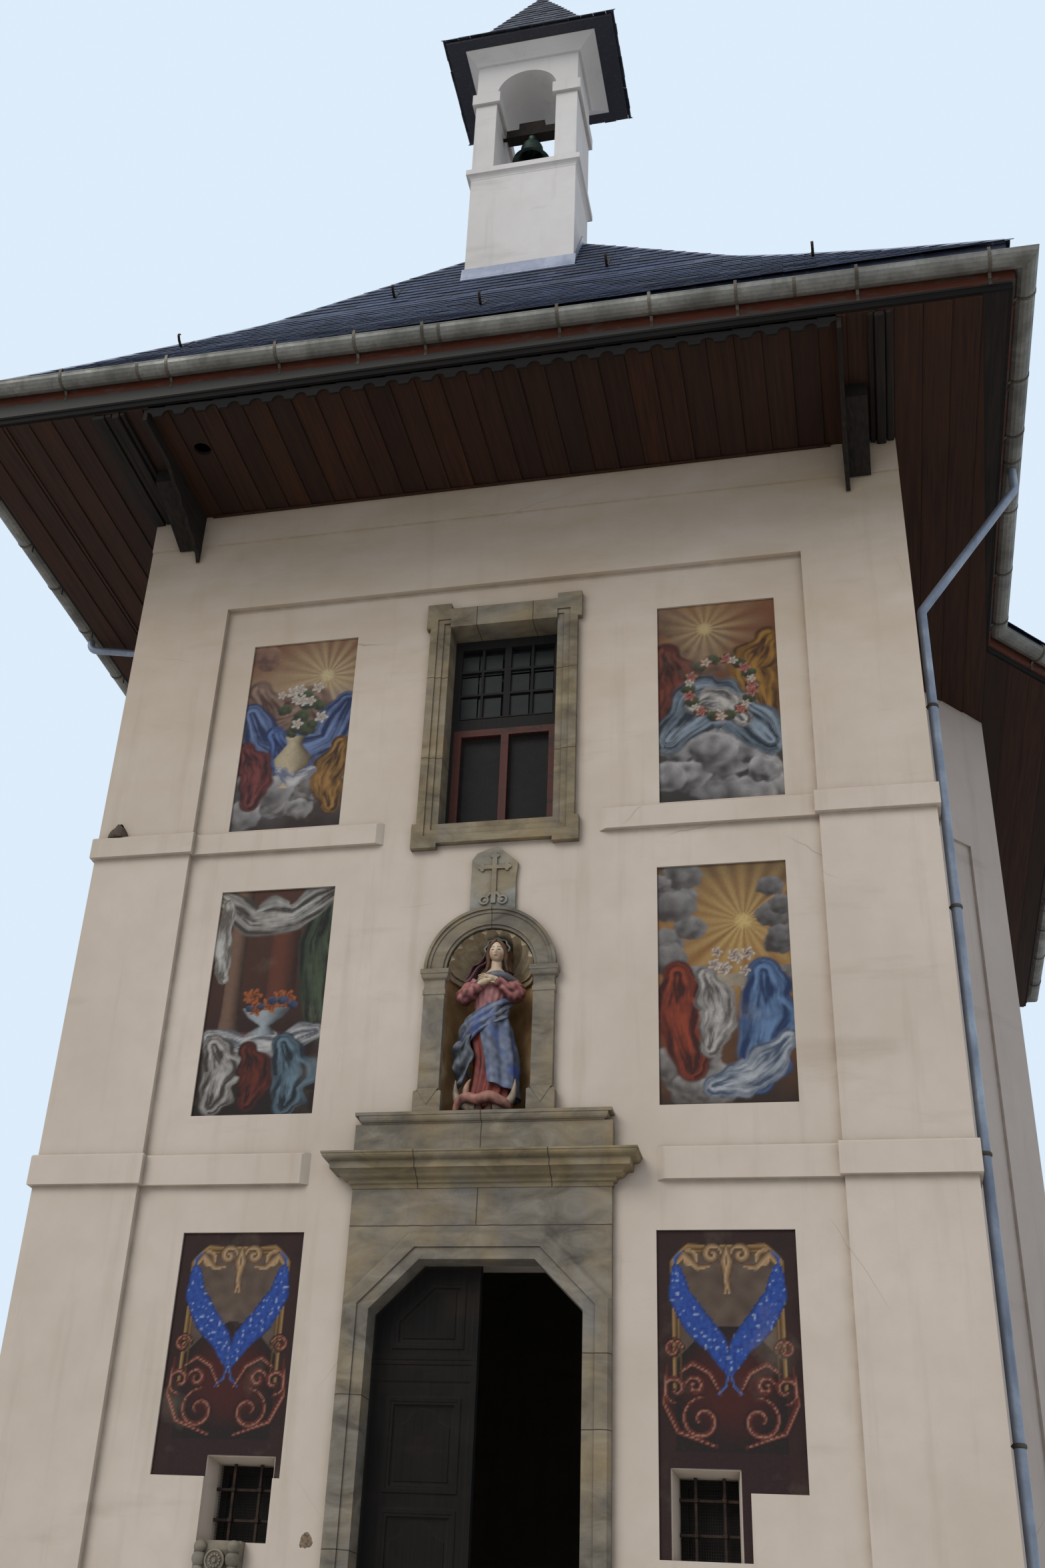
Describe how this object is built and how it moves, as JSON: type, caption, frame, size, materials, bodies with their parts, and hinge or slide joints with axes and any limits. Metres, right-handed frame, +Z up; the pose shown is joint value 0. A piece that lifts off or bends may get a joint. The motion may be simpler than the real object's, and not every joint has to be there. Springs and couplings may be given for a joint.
{
  "type": "small chapel",
  "caption": "Small rendered chapel with a moulded stone portal, niche figure, boarded eaves, slate hip roof and an arched bell turret.",
  "frame": {"origin": "middle of the front at ground level, on the building's axis", "axes": "+Z up, -Y out of the front door, +X to the visitor's right; the nave runs back along +Y"},
  "size_m": [10.9506, 15.1506, 19.28],
  "materials": {
    "render": "matte",
    "grey_stone": "matte",
    "slate": "satin",
    "zinc": "matte",
    "bronze": "satin",
    "glass": "gloss",
    "painted_wood": "satin",
    "painted_plaster": "matte",
    "dark_oak": "satin",
    "red_board": "matte",
    "iron": "matte",
    "brown_timber": "matte"
  },
  "bodies": {
    "building": {"back_wall": "render", "belfry": "render", "carved_corbel": "grey_stone", "consoles": "brown_timber", "cross_plaque": "grey_stone", "downpipes": "zinc", "eave_board": "red_board", "facade_frame": "render", "fascia": "brown_timber", "finial": "zinc", "floor_slab": "grey_stone", "front_wall_left": "render", "front_wall_right": "render", "front_wall_upper": "render", "gutter": "zinc", "hinge_pins": "iron", "hip_caps": "zinc", "inscription_block": "grey_stone", "lower_string_course": "render", "niche_shell": "grey_stone", "niche_surround": "grey_stone", "painted_panels": "painted_plaster", "portal_cornice": "grey_stone", "portal_head": "grey_stone", "portal_jamb_left": "grey_stone", "portal_jamb_right": "grey_stone", "roof_back": "slate", "roof_front": "slate", "roof_left": "slate", "roof_right": "slate", "side_wall_left": "render", "side_wall_right": "render", "small_windows": "brown_timber", "soffit": "brown_timber", "statue": "painted_wood", "threshold": "grey_stone", "turret_flashing": "zinc", "turret_roof": "slate", "turret_shaft": "render", "upper_string_course": "render", "valance": "brown_timber", "window_frame": "brown_timber", "window_glass": "glass", "window_screen": "red_board", "window_surround": "grey_stone"},
    "left_leaf": {"door_leaf_left": "dark_oak"},
    "right_leaf": {"door_leaf_right": "dark_oak"},
    "bell": {"bell_headstock": "brown_timber", "bell": "bronze", "bell_clapper": "bronze"}
  },
  "joints": [
    {"name": "left_leaf_hinge", "type": "hinge", "parent": "building", "child": "left_leaf", "pos_m": [-0.758, 0.255, 1.7], "axis": [0, 0, 1], "range_deg": [0, 100]},
    {"name": "right_leaf_hinge", "type": "hinge", "parent": "building", "child": "right_leaf", "pos_m": [0.872, 0.255, 1.7], "axis": [0, 0, 1], "range_deg": [-5, 95]},
    {"name": "bell_swing", "type": "hinge", "parent": "building", "child": "bell", "pos_m": [0, 0.43, 16.443], "axis": [1, 0, 0], "range_deg": [-60, 60]}
  ]
}
